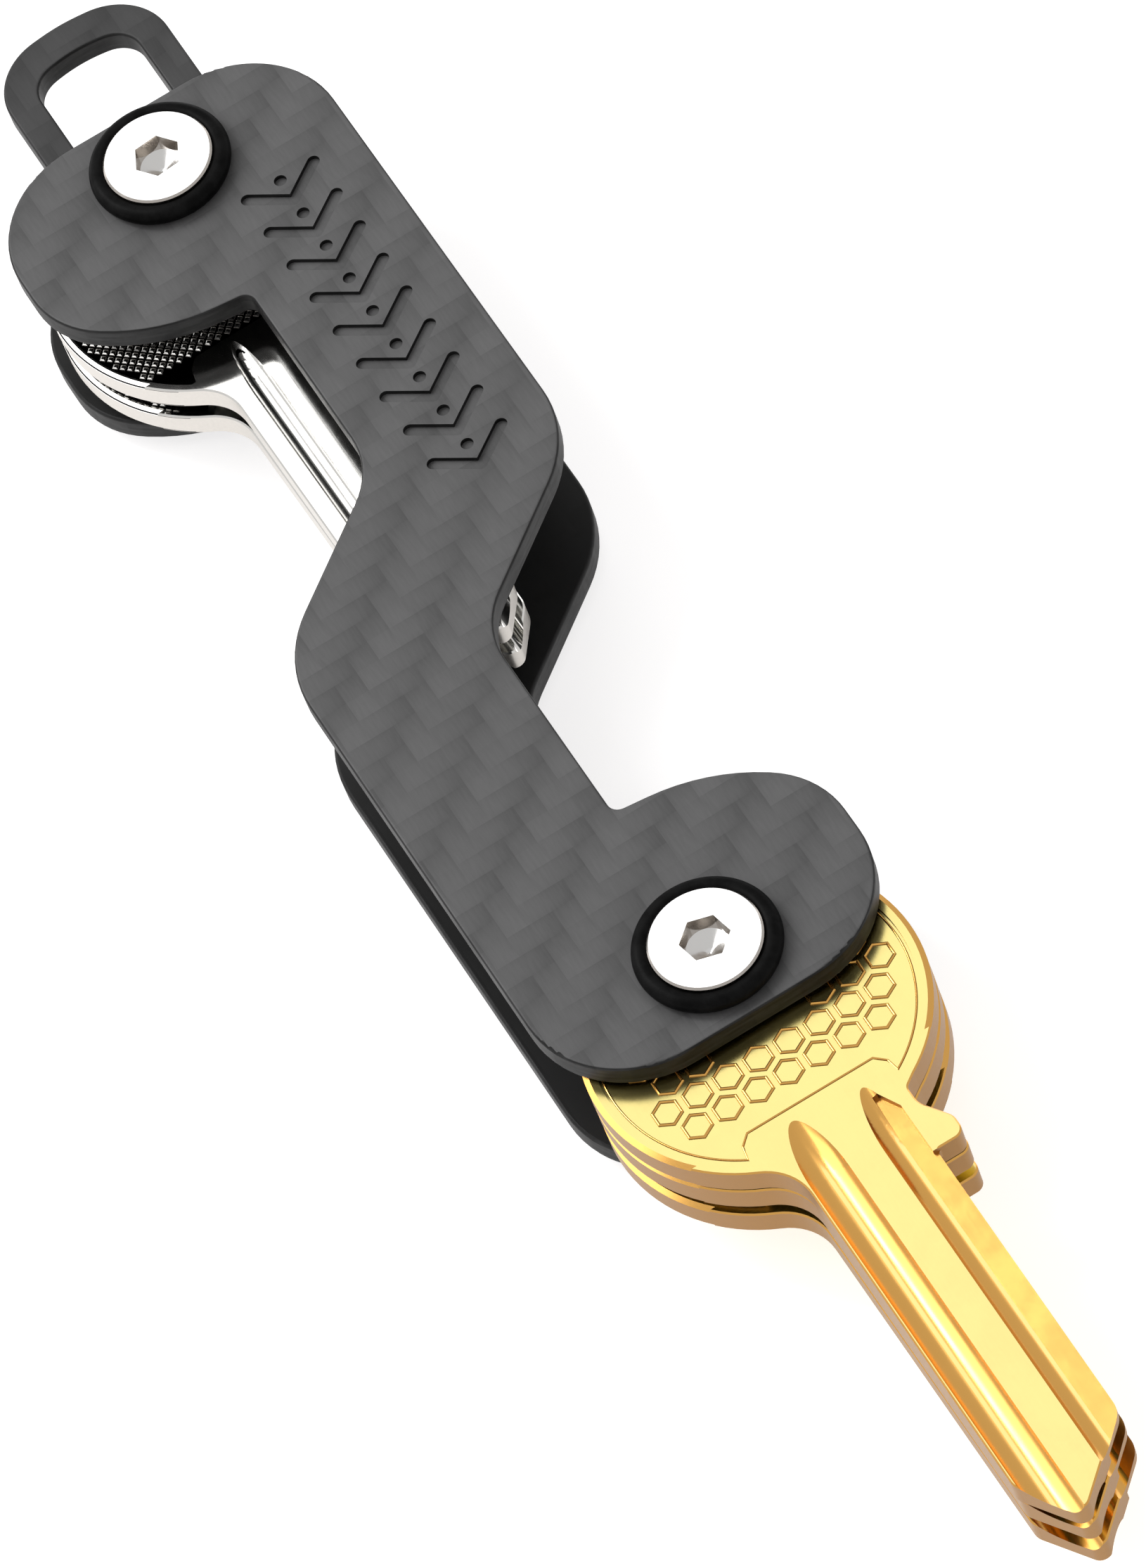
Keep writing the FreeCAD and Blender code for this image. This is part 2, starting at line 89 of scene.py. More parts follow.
# raised pattern on the gold bows
BEAD_INSET = 0.28 * MM
BEAD_HALF_WIDTH = 0.09 * MM
BEAD_RISE = 0.08 * MM
CELL_RADIUS = 1.08 * MM
CELL_HALF_WIDTH = 0.12 * MM
CELL_RISE = 0.14 * MM
CELL_MARGIN = 1.75 * MM
ROOT_DEPTH = 0.01 * MM
RIDGE_POINTS = 7
SHARPEST_MITRE = 0.35
BEAD_POINTS = 120

# columns and rows of the hexagons, in millimetres
CELL_COLUMNS = (-2.6, -0.4, 1.8, 4.0, 6.2, 8.4, 10.6)
CELL_ROWS = range(-5, 6)
CELL_PITCH = 2.5


# ---------------------------------------------------------------- node tree helpers
class Tree:
    """Short names for the shader nodes that the materials and effects below use."""

    def __init__(self, tree):
        self.tree = tree
        self.nodes = tree.nodes

    def node(self, kind, inputs=None, **settings):
        """New node with its settings; inputs are values or links, by socket name or number."""
        made = self.nodes.new(kind)
        for name, value in settings.items():
            setattr(made, name, value)
        for socket, value in (inputs or {}).items():
            self.feed(made.inputs[socket], value)
        return made

    def feed(self, socket, value):
        """Link an output to the socket, or set the socket's own value."""
        if isinstance(value, bpy.types.NodeSocket):
            self.tree.links.new(value, socket)
        else:
            socket.default_value = value

    def math(self, operation, a, b=0.0, c=0.0):
        inputs = {0: a, 1: b, 2: c}
        return self.node("ShaderNodeMath", inputs, operation=operation).outputs[0]

    def between(self, value, low, high):
        """0 below low, 1 above high, smooth in between."""
        inputs = {0: value, 1: low, 2: high, 3: 0.0, 4: 1.0}
        return self.node("ShaderNodeMapRange", inputs, interpolation_type="SMOOTHSTEP").outputs[0]

    def mix(self, factor, a, b):
        """Colour between a and b."""
        made = self.node("ShaderNodeMix", data_type="RGBA")
        self.feed(made.inputs[0], factor)
        self.feed(made.inputs[6], a)
        self.feed(made.inputs[7], b)
        return made.outputs[2]

    def blend(self, factor, a, b):
        """Number between a and b."""
        made = self.node("ShaderNodeMix", data_type="FLOAT")
        self.feed(made.inputs[0], factor)
        self.feed(made.inputs[2], a)
        self.feed(made.inputs[3], b)
        return made.outputs[0]

    def split(self, vector):
        return self.node("ShaderNodeSeparateXYZ", {0: vector}).outputs

    def join(self, x, y, z):
        return self.node("ShaderNodeCombineXYZ", {0: x, 1: y, 2: z}).outputs[0]

    def place(self):
        """Object coordinates."""
        return self.node("ShaderNodeTexCoord").outputs["Object"]

    def noise(self, vector, scale, detail=2.0, roughness=0.5):
        inputs = {"Vector": vector, "Scale": scale, "Detail": detail, "Roughness": roughness}
        return self.node("ShaderNodeTexNoise", inputs).outputs["Fac"]

    def use(self, effect, **inputs):
        """A shared effect placed in this tree, with its own values."""
        made = self.node("ShaderNodeGroup", node_tree=EFFECTS[effect])
        for name, value in inputs.items():
            self.feed(made.inputs[name.replace("_", " ").title()], value)
        return made.outputs


EFFECTS = {}


def effect(name, inputs, outputs):
    """New effect group with float inputs {name: value}; returns its tree, inputs and output node."""
    group = bpy.data.node_groups.new(name, "ShaderNodeTree")
    for label, value in inputs.items():
        socket = group.interface.new_socket(name=label, in_out="INPUT", socket_type="NodeSocketFloat")
        socket.default_value = value
    for label in outputs:
        group.interface.new_socket(name=label, in_out="OUTPUT", socket_type="NodeSocketFloat")
    tree = Tree(group)
    EFFECTS[name] = group
    return tree, tree.node("NodeGroupInput").outputs, tree.node("NodeGroupOutput").inputs


# ---------------------------------------------------------------- shared effects
# Z of a surface's direction at the two ends of each mask's ramp
FACING = (0.75, 0.95)
TRULY_FLAT = (0.9955, 0.9985)
LEANING = (0.3, 0.6)

# how much each thing adds to the shade of a twill: the lighter end and the lighter crown of each float are painted
# light
SHADE_WEIGHTS = {"along": 0.08, "tow": 0.1, "painted_lit_end": 0.44, "height": 0.12, "fibre": 0.3}


def build_sides():
    """Masks from the surface's own direction before any bump: Up and Down face either way, Level is
    both, Flat is without any slope, and Wall is upright."""
    tree, _, out = effect("sides", {}, ("Up", "Down", "Level", "Flat", "Wall"))
    direction = tree.node("ShaderNodeTexCoord").outputs["Normal"]
    z = tree.split(direction)[2]
    up = tree.between(z, *FACING)
    down = tree.between(tree.math("MULTIPLY", z, -1.0), *FACING)
    level = tree.math("MAXIMUM", up, down)
    tree.feed(out["Up"], up)
    tree.feed(out["Down"], down)
    tree.feed(out["Level"], level)
    levelness = tree.math("ABSOLUTE", z)
    tree.feed(out["Flat"], tree.between(levelness, *TRULY_FLAT))
    tree.feed(out["Wall"], tree.math("SUBTRACT", 1.0, tree.between(levelness, *LEANING)))


def build_twill():
    """2x2 twill: each tow floats over two and under two, and the step moves back by one each row.
    Shade is the float's tone with a painted highlight towards its +X or -Y end and on its crown,
    Height its crown, and Along is 1 where the float runs with X."""
    tree, given, out = effect("twill", {"Tow Width": 1.9 * MM}, ("Shade", "Height", "Along"))
    x, y, _ = tree.split(tree.place())
    u = tree.math("DIVIDE", x, given["Tow Width"])
    v = tree.math("DIVIDE", y, given["Tow Width"])
    column = tree.math("FLOOR", u)
    row = tree.math("FLOOR", v)
    phase = tree.math("FLOORED_MODULO", tree.math("ADD", column, row), 4.0)
    along = tree.math("LESS_THAN", phase, 1.5)
    fu = tree.math("FRACT", u)
    fv = tree.math("FRACT", v)
    # how far along its two-cell float a point is, for either direction
    run_x = tree.math("DIVIDE", tree.math("ADD", phase, fu), 2.0)
    run_y = tree.math("DIVIDE", tree.math("SUBTRACT", tree.math("ADD", phase, fv), 2.0), 2.0)
    run = tree.blend(along, run_y, run_x)
    across = tree.blend(along, fu, fv)
    # painted light: each float is lighter towards its +X or -Y end
    painted_lit_end = tree.blend(along, tree.math("SUBTRACT", 1.0, run_y), run_x)

    def crown(t):
        """1 in the middle of 0..1, 0 at both ends."""
        from_middle = tree.math("ABSOLUTE", tree.math("MULTIPLY_ADD", t, 2.0, -1.0))
        return tree.math("SUBTRACT", 1.0, tree.math("POWER", from_middle, 3.0))

    height = tree.math("MULTIPLY", crown(run), crown(across))
    # each cell's own tone, a scrambled number from its column and row
    number = tree.math("ADD", tree.math("MULTIPLY", column, 7.31), tree.math("MULTIPLY", row, 3.17))
    tow = tree.math("FRACT", tree.math("MULTIPLY", tree.math("SINE", number), 43.7))
    fibre = tree.noise(tree.join(tree.math("MULTIPLY", x, 0.15), y, 0.0), 4200.0, 1.0)
    shade = tree.math("MULTIPLY", tow, SHADE_WEIGHTS["tow"])
    shade = tree.math("MULTIPLY_ADD", along, SHADE_WEIGHTS["along"], shade)
    # painted highlight: the lit end and the crown of each float lighten its tone
    shade = tree.math("MULTIPLY_ADD", painted_lit_end, SHADE_WEIGHTS["painted_lit_end"], shade)
    shade = tree.math("MULTIPLY_ADD", height, SHADE_WEIGHTS["height"], shade)
    shade = tree.math("MULTIPLY_ADD", fibre, SHADE_WEIGHTS["fibre"], shade)
    tree.feed(out["Shade"], shade)
    tree.feed(out["Height"], height)
    tree.feed(out["Along"], along)


def build_plies():
    """Thin layers seen on a cut edge: bands along Z of uneven tone."""
    tree, given, out = effect("plies", {"Ply": 0.25 * MM}, ("Tone",))
    x, y, z = tree.split(tree.place())
    layer = tree.math("FLOOR", tree.math("DIVIDE", z, given["Ply"]))
    stretched = tree.join(tree.math("MULTIPLY", x, 300.0), tree.math("MULTIPLY", y, 300.0),
                          tree.math("MULTIPLY", layer, 5.3))
    tree.feed(out["Tone"], tree.noise(stretched, 1.0, 3.0, 0.6))


def build_grain():
    """Fine lines that run with X: noise squeezed across and stretched along."""
    tree, given, out = effect("grain", {"Fineness": 9000.0, "Stretch": 0.04}, ("Line",))
    x, y, z = tree.split(tree.place())
    vector = tree.join(tree.math("MULTIPLY", x, given["Stretch"]), y, z)
    tree.feed(out["Line"], tree.noise(vector, given["Fineness"], 3.0, 0.6))


def build_turned():
    """Rings left by a lathe about each barrel: noise on the distance to the nearer pivot axis."""
    tree, given, out = effect("turned", {"Fineness": 6000.0}, ("Ring",))
    x, y, _ = tree.split(tree.place())
    far = tree.math("GREATER_THAN", x, KEY_PIVOT.x / 2)
    near_x = tree.math("SUBTRACT", x, tree.math("MULTIPLY", far, KEY_PIVOT.x))
    square_x = tree.math("MULTIPLY", near_x, near_x)
    square_y = tree.math("MULTIPLY", y, y)
    radius = tree.math("SQRT", tree.math("ADD", square_x, square_y))
    tree.feed(out["Ring"], tree.noise(tree.join(radius, 0.0, 0.0), given["Fineness"], 2.0))


def build_handling():
    """Finger marks and light wear: broad soft patches broken by small ones."""
    tree, given, out = effect("handling", {"Patch": 160.0}, ("Mark",))
    place = tree.place()
    broad = tree.noise(place, given["Patch"], 3.0, 0.55)
    small = tree.noise(place, 2400.0, 2.0)
    tree.feed(out["Mark"], tree.between(tree.math("MULTIPLY_ADD", small, 0.25, broad), 0.45, 0.8))


for build in (build_sides, build_twill, build_plies, build_grain, build_turned, build_handling):
    build()


# ---------------------------------------------------------------- materials
# greys from dark to light
WEAVE_GREYS = (0.056, 0.136)
WEAVE_MARK = 0.115
PLY_GREYS = (0.002, 0.02)
# painted shade: near-black for the plates' faces that look at each other
INNER_SHADE_GREYS = (0.002, 0.004)
RUBBER_GREYS = (0.002, 0.006)
LOOP_TONE = 0.48

# metals: a key's flat faces, its grooves and slopes, and its sheared walls, as tones that paint light
# by slope: gold faces paler as a painted highlight, gold grooves deeper orange as a painted
# reflection, and walls darker as painted shade
GOLD_LIT_AND_SHADED_TONES = ((0.75, 0.625, 0.235), (0.92, 0.50, 0.13), (0.36, 0.20, 0.078))
NICKEL_LIT_AND_SHADED_TONES = ((0.93, 0.92, 0.89), (0.93, 0.92, 0.89), (0.68, 0.65, 0.61))
GOLD_ROUGHNESS = 0.14
NICKEL_ROUGHNESS = 0.05
BLACKENING = (0.012, 0.012, 0.013)
LEVEL_TOLERANCE = 0.03 * MM
FIELD_END = PANEL_START + 2.0 * MM
STEEL_FACE = (0.9, 0.9, 0.89)
# painted shade: darker, browner steel for the sides and socket walls
STEEL_SHADED_SIDE = (0.58, 0.54, 0.50)
ALUMINIUM = (0.62, 0.62, 0.63)
WASHER_STEEL = (0.56, 0.56, 0.57)


def material(name, **sockets):
    """Material with one Principled shader; values are set on its own sockets."""
    mat = bpy.data.materials.new(name)
    mat.use_nodes = True
    tree = Tree(mat.node_tree)
    shader = mat.node_tree.nodes["Principled BSDF"]
    for socket, value in sockets.items():
        shader.inputs[socket.replace("_", " ")].default_value = value
    return mat, tree, shader.inputs


def bump(tree, sockets, height, distance, strength):
    """Bump of that height and distance on the shader's normal."""
    made = tree.node("ShaderNodeBump", {"Height": height, "Distance": distance, "Strength": strength})
    tree.feed(sockets["Normal"], made.outputs["Normal"])


def grey(value):
    """Grey with a trace of blue."""
    return (value, value, value * 1.01, 1.0)


def opaque(colour, strength=1.0):
    """Colour for a socket, darker or lighter by strength and no more than full."""
    return (*[min(1.0, strength * channel) for channel in colour], 1.0)


def carbon(name, outward, tone):
    """Matt twill on the outer faces, dark plies on cut edges, and inner faces painted near-black as
    painted shade between the plates. outward is the mask output of sides that the weave shows on."""
    mat, tree, sockets = material(name, Metallic=0.0, Specular_IOR_Level=0.3)
    sides = tree.use("sides")
    twill = tree.use("twill")
    plies = tree.use("plies")
    mark = tree.use("handling")["Mark"]
    weave = tree.mix(twill["Shade"], *[grey(tone * value) for value in WEAVE_GREYS])
    weave = tree.mix(tree.math("MULTIPLY", mark, 0.2), weave, grey(tone * WEAVE_MARK))
    edge = tree.mix(tree.between(plies["Tone"], 0.3, 0.75), *[grey(value) for value in PLY_GREYS])
    # painted shade between the plates: their facing inner faces are near-black
    inner = tree.mix(twill["Shade"], *[grey(value) for value in INNER_SHADE_GREYS])
    under = tree.mix(sides["Level"], edge, inner)
    tree.feed(sockets["Base Color"], tree.mix(sides[outward], under, weave))
    rough = tree.math("MULTIPLY_ADD", twill["Along"], -0.04, 0.5)
    rough = tree.math("MULTIPLY_ADD", mark, 0.08, rough)
    tree.feed(sockets["Roughness"], rough)
    bump(tree, sockets, tree.math("MULTIPLY", twill["Height"], sides["Level"]), 0.012 * MM, 0.5)
    return mat


def polished_steel():
    """Bright turned stainless with finger marks, its sides and socket walls darker as painted shade."""
    mat, tree, sockets = material("polished_steel", Metallic=1.0)
    sides = tree.use("sides")
    ring = tree.use("turned")["Ring"]
    mark = tree.use("handling", patch=420.0)["Mark"]
    # painted shade: sides and socket walls take a darker steel than the level faces
    tree.feed(sockets["Base Color"], tree.mix(sides["Level"], opaque(STEEL_SHADED_SIDE), opaque(STEEL_FACE)))
    rough = tree.math("MULTIPLY_ADD", ring, 0.07, 0.12)
    tree.feed(sockets["Roughness"], tree.math("MULTIPLY_ADD", mark, 0.05, rough))
    bump(tree, sockets, ring, 0.002 * MM, 0.4)
    return mat


def turned_metal(name, colour, rough):
    """Lathe-turned metal for barrels, washers and spacers."""
    mat, tree, sockets = material(name, Metallic=1.0)
    ring = tree.use("turned", fineness=9000.0)["Ring"]
    mark = tree.use("handling", patch=300.0)["Mark"]
    tree.feed(sockets["Base Color"], tree.mix(mark, opaque(colour), opaque(colour, 0.82)))
    tree.feed(sockets["Roughness"], tree.math("MULTIPLY_ADD", ring, 0.18, rough))
    bump(tree, sockets, ring, 0.004 * MM, 0.6)
    return mat


def rubber():
    """Satin black moulded rubber with a little dust."""
    mat, tree, sockets = material("ring_rubber", Metallic=0.0, Specular_IOR_Level=0.06)
    fine = tree.noise(tree.place(), 5200.0, 4.0, 0.65)
    mark = tree.use("handling", patch=700.0)["Mark"]
    tree.feed(sockets["Base Color"], tree.mix(mark, *[grey(value) for value in RUBBER_GREYS]))
    tree.feed(sockets["Roughness"], tree.math("MULTIPLY_ADD", fine, 0.16, 0.36))
    bump(tree, sockets, fine, 0.01 * MM, 0.35)
    return mat


def key_metal(name, face, groove, wall, face_rough, dark_levels=()):
    """Bright rolled faces with fine lines along the key, satin grooves and rougher sheared walls; face,
    groove and wall are base colours that paint light by slope, with painted shade on the walls.
    dark_levels are the heights of a key's two sunk fields, where those are blackened."""
    mat, tree, sockets = material(name, Metallic=1.0)
    sides = tree.use("sides")
    line = tree.use("grain")["Line"]
    mark = tree.use("handling", patch=260.0)["Mark"]
    shear = tree.noise(tree.place(), 3600.0, 4.0, 0.7)
    shaded_wall_colour = tree.mix(shear, opaque(wall, 0.9), opaque(wall, 1.1))
    # painted light by slope: level faces take the face tone, grooves and slopes take the groove tone
    colour = tree.mix(sides["Flat"], opaque(groove), opaque(face))
    # painted shade: upright walls take the darker wall tone
    colour = tree.mix(sides["Wall"], colour, shaded_wall_colour)
    if dark_levels:
        x, _, z = tree.split(tree.place())
        on_levels = [tree.math("COMPARE", z, level, LEVEL_TOLERANCE) for level in dark_levels]
        sunk = tree.math("MAXIMUM", *on_levels)
        field = tree.math("MULTIPLY", sunk, tree.math("LESS_THAN", x, FIELD_END))
        colour = tree.mix(field, colour, opaque(BLACKENING))
    tree.feed(sockets["Base Color"], colour)
    rough = tree.blend(sides["Flat"], face_rough + 0.02, face_rough)
    rough = tree.math("MULTIPLY_ADD", line, 0.06, rough)
    rough = tree.math("MULTIPLY_ADD", mark, 0.05, rough)
    wall_rough = tree.math("MULTIPLY_ADD", shear, 0.2, 0.3)
    tree.feed(sockets["Roughness"], tree.blend(sides["Wall"], rough, wall_rough))
    height = tree.math("MULTIPLY_ADD", tree.math("MULTIPLY", shear, sides["Wall"]), 4.0, line)
    bump(tree, sockets, height, 0.0025 * MM, 0.35)
    return mat


def field_levels(node):
    """Heights of a key's two sunk fields."""
    low_corner, high_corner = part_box(node)
    return high_corner.z - BOW_RECESS, low_corner.z + BOW_RECESS


GOLD = key_metal("gold_anodised", *GOLD_LIT_AND_SHADED_TONES, GOLD_ROUGHNESS)
NICKEL = key_metal("bright_nickel", *NICKEL_LIT_AND_SHADED_TONES, NICKEL_ROUGHNESS)

# finishes of single nodes, and the finish of each material slot for the rest
CARBON = {
    "front_plate": carbon("carbon_front", "Up", tone=1.0),
    "rear_plate": carbon("carbon_rear", "Down", tone=1.0),
    "key_ring_loop": carbon("carbon_loop", "Level", tone=LOOP_TONE),
}
FINISH = {
    "screw_metal": polished_steel(),
    "barrel_metal": turned_metal("turned_aluminium", ALUMINIUM, rough=0.22),
    "ring_rubber": rubber(),
    "washer_metal": turned_metal("washer_steel", WASHER_STEEL, rough=0.28),
    "nickel": NICKEL,
    "gold": GOLD,
}
BLACKENED = {
    node: key_metal(node + "_nickel", *NICKEL_LIT_AND_SHADED_TONES, NICKEL_ROUGHNESS, field_levels(node))
    for node in SILVER_KEYS
}
for part in record["subparts"]:
    mesh = nodes[part["node"]].data
    mesh.materials.clear()
    own = CARBON.get(part["node"]) or BLACKENED.get(part["node"])
    mesh.materials.append(own or FINISH[part["material_slot"]])


# ---------------------------------------------------------------- raised detail on the bows
def add_piece(name, points, faces, body, finish):
    """Mesh piece in the frame's own coordinates that rides on a body."""
    mesh = bpy.data.meshes.new(name)
    mesh.from_pydata(points.tolist(), [], faces)
    mesh.materials.append(finish)
    piece = bpy.data.objects.new(name, mesh)
    bpy.context.scene.collection.objects.link(piece)
    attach(piece, body)


def on_key(points, pivot, turn_degrees):
    """Points of a key blank turned about its pivot axis and put in place; z is left as it is."""
    turn = math.radians(turn_degrees)
    c, s = math.cos(turn), math.sin(turn)
    x = pivot.x + c * points[:, 0] - s * points[:, 1]
    y = pivot.y + s * points[:, 0] + c * points[:, 1]
    return np.column_stack([x, y, points[:, 2]])


def in_field(xy, bow, margin):
    """True for points in the sunk field: inside its circle, short of the panel, clear of the washer."""
    from_centre = np.hypot(xy[:, 0] - bow["centre"][0], xy[:, 1] - bow["centre"][1])
    from_pivot = np.hypot(xy[:, 0], xy[:, 1])
    inside = from_centre < bow["field"] - margin
    before_panel = xy[:, 0] < PANEL_START - margin
    clear_of_washer = from_pivot > EYE_RADIUS + margin
    return inside & before_panel & clear_of_washer


def studs(centres, turn, floor, up):
    """Small four-sided studs drawn in twice on the way up: squares of half side STUD_SIDES at heights
    STUD_RISES above the floor; up is 1 or -1."""
    corners = np.array([(-1, -1), (1, -1), (1, 1), (-1, 1)], float)
    c, s = math.cos(turn), math.sin(turn)
    corners = corners @ np.array([(c, s), (-s, c)])
    sides = np.array(STUD_SIDES)[:, None, None] * corners[None]
    xy = centres[:, None, None, :] + sides[None]
    rises = floor + up * np.array(STUD_RISES)
    z = np.broadcast_to(rises[None, :, None, None], xy.shape[:3] + (1,))
    points = np.concatenate([xy, z], axis=3).reshape(-1, 3)
    levels = len(STUD_SIDES)
    faces = [(3, 2, 1, 0), tuple(4 * (levels - 1) + k for k in range(4))]
    for level in range(levels - 1):
        for k in range(4):
            j = (k + 1) % 4
            faces.append((4 * level + k, 4 * level + j, 4 * level + 4 + j, 4 * level + 4 + k))
    base = np.array(faces)
    if up < 0:
        base = base[:, ::-1]
    count = len(centres)
    faces = (base[None] + 4 * levels * np.arange(count)[:, None, None]).reshape(-1, 4)
    return points, faces.tolist()


def knurl(node, body, turn, face):
    """Knurled field on a silver bow: studs on a grid at 45 degrees."""
    steps = np.arange(-STUD_REACH, STUD_REACH + 1) * STUD_PITCH
    u, v = np.meshgrid(steps, steps, indexing="ij")
    diagonal = math.sqrt(0.5)
    grid = np.column_stack([(u - v).ravel() * diagonal, (u + v).ravel() * diagonal])
    grid[:, 0] += SILVER_BOW["centre"][0]
    grid = grid[in_field(grid, SILVER_BOW, STUD_MARGIN)]
    front_level, back_level = field_levels(node)
    floor, up = (front_level, 1) if face == "front" else (back_level, -1)
    points, faces = studs(grid, math.pi / 4, floor, up)
    add_piece(node + "_knurl_" + face, on_key(points, LOOP_PIVOT, turn), faces, body, NICKEL)


def ridge(path, half_width, low, high):
    """Half-round ridge along a closed flat path: half an ellipse, half_width to each side and from
    z = low to high, stands across the path at each point, and is wider where the path turns, as a
    mitre is."""
    ahead = np.roll(path, -1, axis=0) - path
    behind = path - np.roll(path, 1, axis=0)
    ahead /= np.linalg.norm(ahead, axis=1)[:, None]
    behind /= np.linalg.norm(behind, axis=1)[:, None]
    middle = ahead + behind
    middle /= np.linalg.norm(middle, axis=1)[:, None]
    side = np.column_stack([-middle[:, 1], middle[:, 0]])
    mitre = 1 / np.clip((middle * ahead).sum(axis=1), SHARPEST_MITRE, 1)
    angles = np.linspace(0, math.pi, RIDGE_POINTS)
    offset = np.cos(angles)[None, :] * half_width * mitre[:, None]
    xy = path[:, None, :] + side[:, None, :] * offset[:, :, None]
    z = low + (high - low) * np.sin(angles)
    points = np.concatenate([xy, np.broadcast_to(z[None, :, None], xy.shape[:2] + (1,))], axis=2)
    n, k = xy.shape[:2]
    i = np.arange(n)
    j = np.arange(k)
    a = i[:, None] * k + j[None, :]
    b = i[:, None] * k + (j[None, :] + 1) % k
    c = ((i[:, None] + 1) % n) * k + (j[None, :] + 1) % k
    d = ((i[:, None] + 1) % n) * k + j[None, :]
    faces = np.stack([a, d, c, b], axis=-1).reshape(-1, 4).tolist()
    if high < low:
        faces = [face[::-1] for face in faces]
    return points.reshape(-1, 3), faces


def merge(parts):
    """Several (points, faces) as one, each part's corner numbers moved past those before it."""
    points, faces, start = [], [], 0
    for part_points, part_faces in parts:
        points.append(part_points)
        faces.extend([[index + start for index in face] for face in part_faces])
        start += len(part_points)
    return np.concatenate(points), faces


def polygon(centre, radius, sides):
    """Corners of a regular polygon: points at equal angles on a circle."""
    angles = np.arange(sides) * 2 * math.pi / sides
    return np.column_stack([centre[0] + radius * np.cos(angles), centre[1] + radius * np.sin(angles)])


def field_outline(bow, low, high, inset):
    """Outline of a bow's sunk field, drawn in by inset: a circle round to the panel, then across it in
    a straight line between low and high with a slanted end at each."""
    radius = bow["field"] - inset
    edge = PANEL_START - inset
    centre_x, centre_y = bow["centre"]
    top = math.asin((high + PANEL_TURN - centre_y) / radius)
    bottom = math.asin((low + PANEL_TURN + centre_y) / radius)
    angles = np.linspace(top, 2 * math.pi - bottom, BEAD_POINTS)
    round_x = centre_x + radius * np.cos(angles)
    round_y = centre_y + radius * np.sin(angles)
    panel = np.array([
        (edge + PANEL_SLANT, -low - PANEL_SLANT),
        (edge, -low),
        (edge, high),
        (edge + PANEL_SLANT, high + PANEL_SLANT),
    ])
    return np.concatenate([np.column_stack([round_x, round_y]), panel])


def bow_ornament(node, body, turn, face):
    """Plain raised pattern on a gold bow: outlined hexagons in staggered rows, inside a thin bead."""
    front_level, back_level = field_levels(node)
    floor, up = (front_level, 1) if face == "front" else (back_level, -1)
    low = floor - up * ROOT_DEPTH
    bead = field_outline(GOLD_BOW, GOLD_PANEL_LOW, GOLD_PANEL_HIGH, BEAD_INSET)
    parts = [ridge(bead, BEAD_HALF_WIDTH, low, floor + up * BEAD_RISE)]
    centres = np.array([
        (x, (row + 0.5 * (column % 2)) * CELL_PITCH)
        for column, x in enumerate(CELL_COLUMNS)
        for row in CELL_ROWS
    ]) * MM
    for centre in centres[in_field(centres, GOLD_BOW, CELL_MARGIN)]:
        cell = polygon(centre, CELL_RADIUS, 6)
        parts.append(ridge(cell, CELL_HALF_WIDTH, low, floor + up * CELL_RISE))
    points, faces = merge(parts)
    add_piece(node + "_ornament_" + face, on_key(points, KEY_PIVOT, turn), faces, body, GOLD)


for node, (body, turn) in SILVER_KEYS.items():
    for face in ("front", "back"):
        knurl(node, body, turn, face)
for node, (body, turn) in GOLD_KEYS.items():
    for face in ("front", "back"):
        bow_ornament(node, body, turn, face)


# ---------------------------------------------------------------- camera
VIEW_AZIMUTH = math.radians(-10.45)
VIEW_ELEVATION = math.radians(55.19)
VIEW_ROLL = math.radians(-22.28)
VIEW_DISTANCE = 0.6983
LENS_MM = 224.0
SENSOR_MM = 36.0
AIM = Vector((0.788 * KEY_PIVOT.x, -1.2 * MM, FRONT_FACE))


def towards(azimuth, elevation):
    """Unit vector from the object to a place at that azimuth and elevation."""
    flat = math.cos(elevation)
    return Vector((flat * math.cos(azimuth), flat * math.sin(azimuth), math.sin(elevation)))


def facing(direction, roll=0.0):
    """Rotation that looks back along a direction, turned by roll about the view axis."""
    look = direction.to_track_quat("Z", "Y").to_matrix().to_4x4()
    return look @ Matrix.Rotation(roll, 4, "Z")


def make_camera():
    """Long-lens camera that looks down at the front plate."""
    data = bpy.data.cameras.new("camera")
    data.lens = LENS_MM
    data.sensor_width = SENSOR_MM
    data.clip_start = 0.01
    camera = bpy.data.objects.new("camera", data)
    bpy.context.scene.collection.objects.link(camera)
    out = towards(VIEW_AZIMUTH, VIEW_ELEVATION)
    camera.matrix_world = Matrix.Translation(AIM + out * VIEW_DISTANCE) @ facing(out, VIEW_ROLL)
    bpy.context.scene.camera = camera


make_camera()


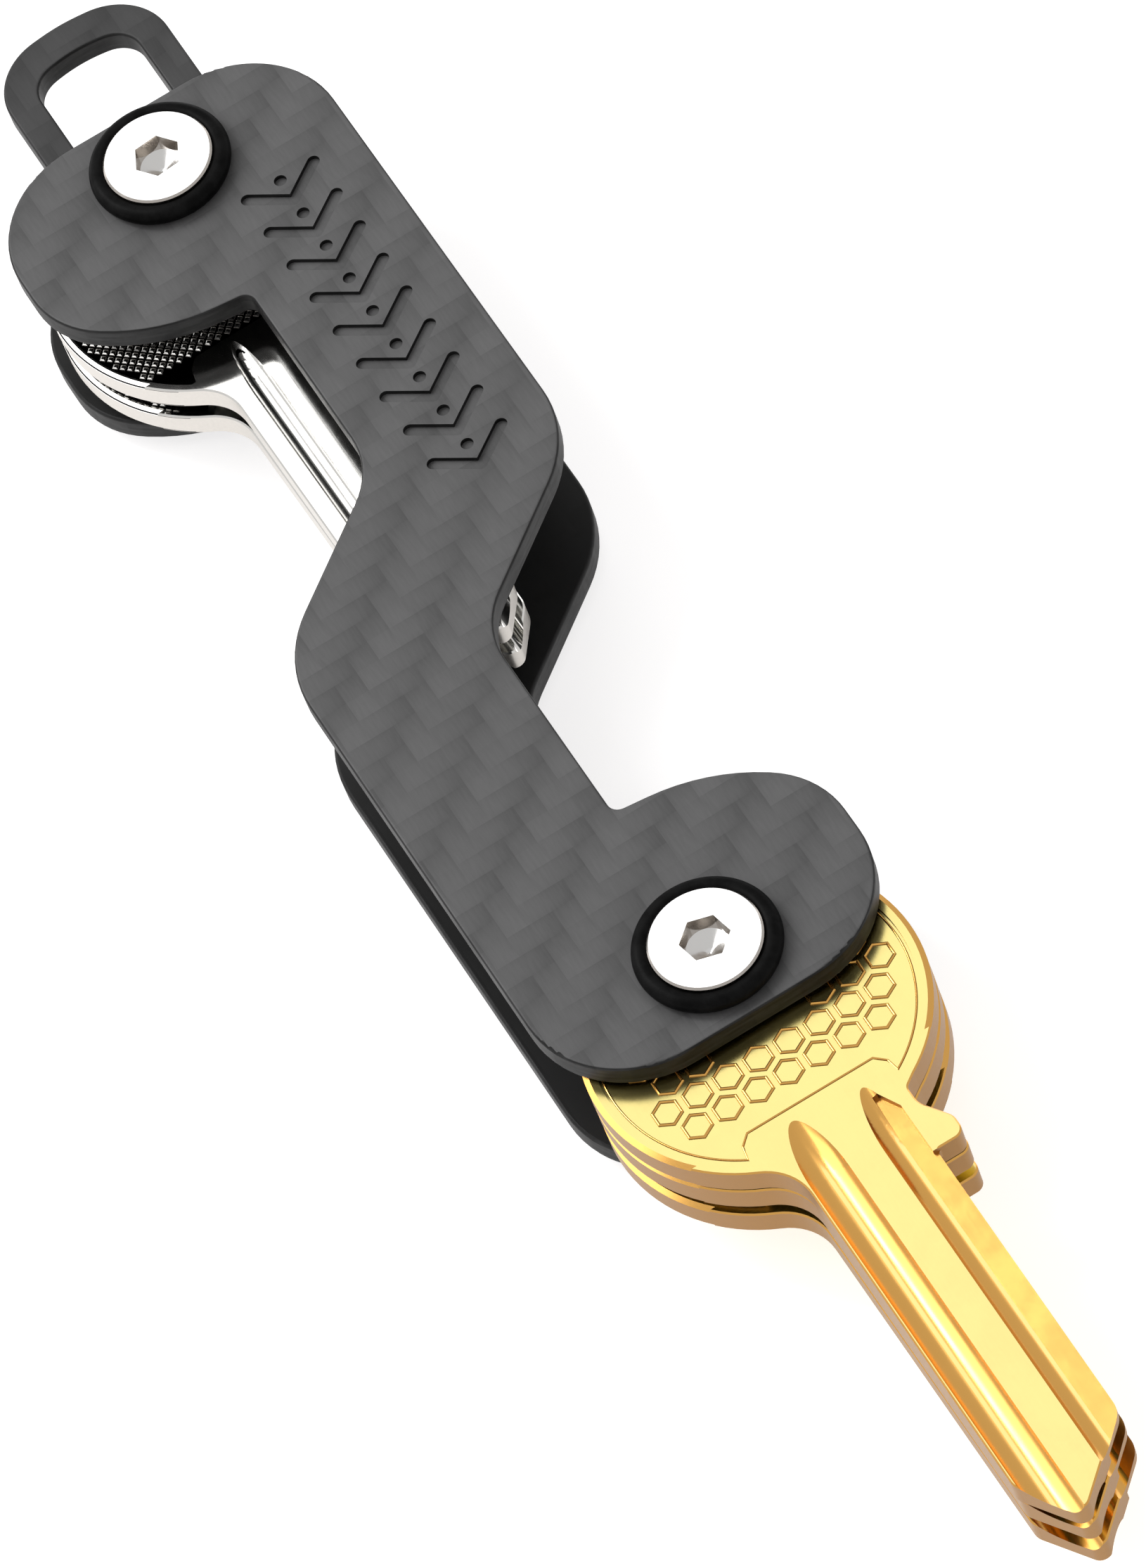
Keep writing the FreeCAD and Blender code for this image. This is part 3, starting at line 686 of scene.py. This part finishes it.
# ---------------------------------------------------------------- floor and light
FLOOR_REACH = 3.0
FLOOR_COLOUR = (0.62, 0.62, 0.62)
FLOOR_GLOW = (1.0, 0.99, 0.99)
FLOOR_GLOW_STRENGTH = 0.68
WORLD_COLOUR = (1.0, 0.99, 0.985)
WORLD_STRENGTH = 0.62

# azimuth, elevation, distance, width, height and watts
LIGHTS = {
    "back_light": (165, 55, 0.9, 0.36, 0.5, 0.5),
    "left_light": (-128, 42, 0.6, 0.45, 0.45, 1.1),
    "strip_light": (-146, 47, 0.8, 0.12, 0.5, 1.5),
}


def make_floor():
    """Large pale sheet under the object."""
    mesh = bpy.data.meshes.new("floor")
    s = FLOOR_REACH
    mesh.from_pydata([(-s, -s, 0), (s, -s, 0), (s, s, 0), (-s, s, 0)], [], [(0, 1, 2, 3)])
    floor = bpy.data.objects.new("floor", mesh)
    bpy.context.scene.collection.objects.link(floor)
    paper, _, sockets = material("floor_paper", Roughness=0.9, Emission_Strength=FLOOR_GLOW_STRENGTH)
    sockets["Base Color"].default_value = opaque(FLOOR_COLOUR)
    sockets["Emission Color"].default_value = opaque(FLOOR_GLOW)
    mesh.materials.append(paper)


def softbox(name, azimuth, elevation, distance, width, height, watts):
    """Rectangular studio light that looks at the middle of the object."""
    data = bpy.data.lights.new(name, "AREA")
    data.shape = "RECTANGLE"
    data.size = width
    data.size_y = height
    data.energy = watts
    lamp = bpy.data.objects.new(name, data)
    bpy.context.scene.collection.objects.link(lamp)
    out = towards(math.radians(azimuth), math.radians(elevation))
    lamp.matrix_world = Matrix.Translation(AIM + out * distance) @ facing(out)


def make_world():
    """Even pale light from all round."""
    world = bpy.data.worlds.new("studio")
    world.use_nodes = True
    background = world.node_tree.nodes["Background"].inputs
    background["Color"].default_value = opaque(WORLD_COLOUR)
    background["Strength"].default_value = WORLD_STRENGTH
    bpy.context.scene.world = world


make_floor()
for name, settings in LIGHTS.items():
    softbox(name, *settings)
make_world()
bpy.context.scene.view_settings.view_transform = "Standard"
